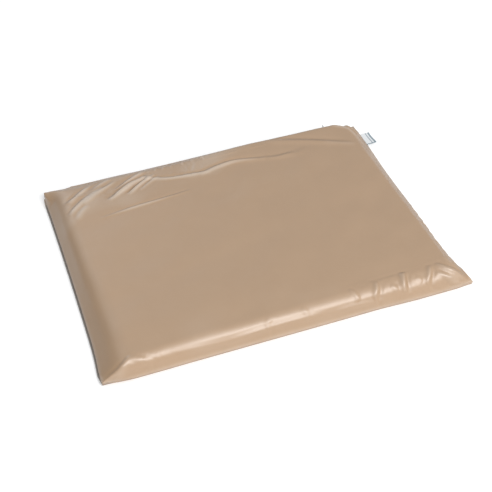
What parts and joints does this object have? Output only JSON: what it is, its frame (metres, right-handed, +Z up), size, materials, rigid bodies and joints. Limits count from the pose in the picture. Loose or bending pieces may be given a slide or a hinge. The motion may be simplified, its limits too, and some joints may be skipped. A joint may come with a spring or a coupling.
{
  "type": "flat massage table cushion",
  "caption": "Flat rectangular foam cushion in a loose, wipe-clean zipped cover, laid flat under the head, face or body on a treatment couch.",
  "frame": {"origin": "centre of the seam's rectangle on the underside, which lies flat on z = 0", "axes": "+X along the long side, +Y to the back edge, which holds the zip, +Z up out of the top face"},
  "size_m": [0.6179, 0.4601, 0.038],
  "materials": {
    "cover_cloth": "satin",
    "foam": "matte",
    "thread": "matte",
    "zip_tape": "matte",
    "zip_coil": "satin",
    "zip_metal": "satin",
    "label_ribbon": "satin"
  },
  "bodies": {
    "cushion": {"foam_core": "foam", "cover_top_panel": "cover_cloth", "cover_bottom_panel": "cover_cloth", "seam_thread": "thread", "zip_tape_upper": "zip_tape", "zip_tape_lower": "zip_tape", "zip_coil_upper": "zip_coil", "zip_coil_lower": "zip_coil", "zip_stitching_upper": "thread", "zip_stitching_lower": "thread", "zip_bottom_stop": "zip_metal", "zip_top_stop_upper": "zip_metal", "zip_top_stop_lower": "zip_metal", "sewn_label": "label_ribbon"},
    "zip_slider": {"zip_slider": "zip_metal"},
    "zip_pull": {"zip_pull_tab": "zip_metal"}
  },
  "joints": [
    {"name": "zip_slide", "type": "slide", "parent": "cushion", "child": "zip_slider", "axis": [1, 0, 0], "range_m": [-0.4795, 0]},
    {"name": "tab_swing", "type": "hinge", "parent": "zip_slider", "child": "zip_pull", "pos_m": [0.24, 0.2161, 0.0135], "axis": [0, 0, 1], "range_deg": [-85, 85]}
  ]
}
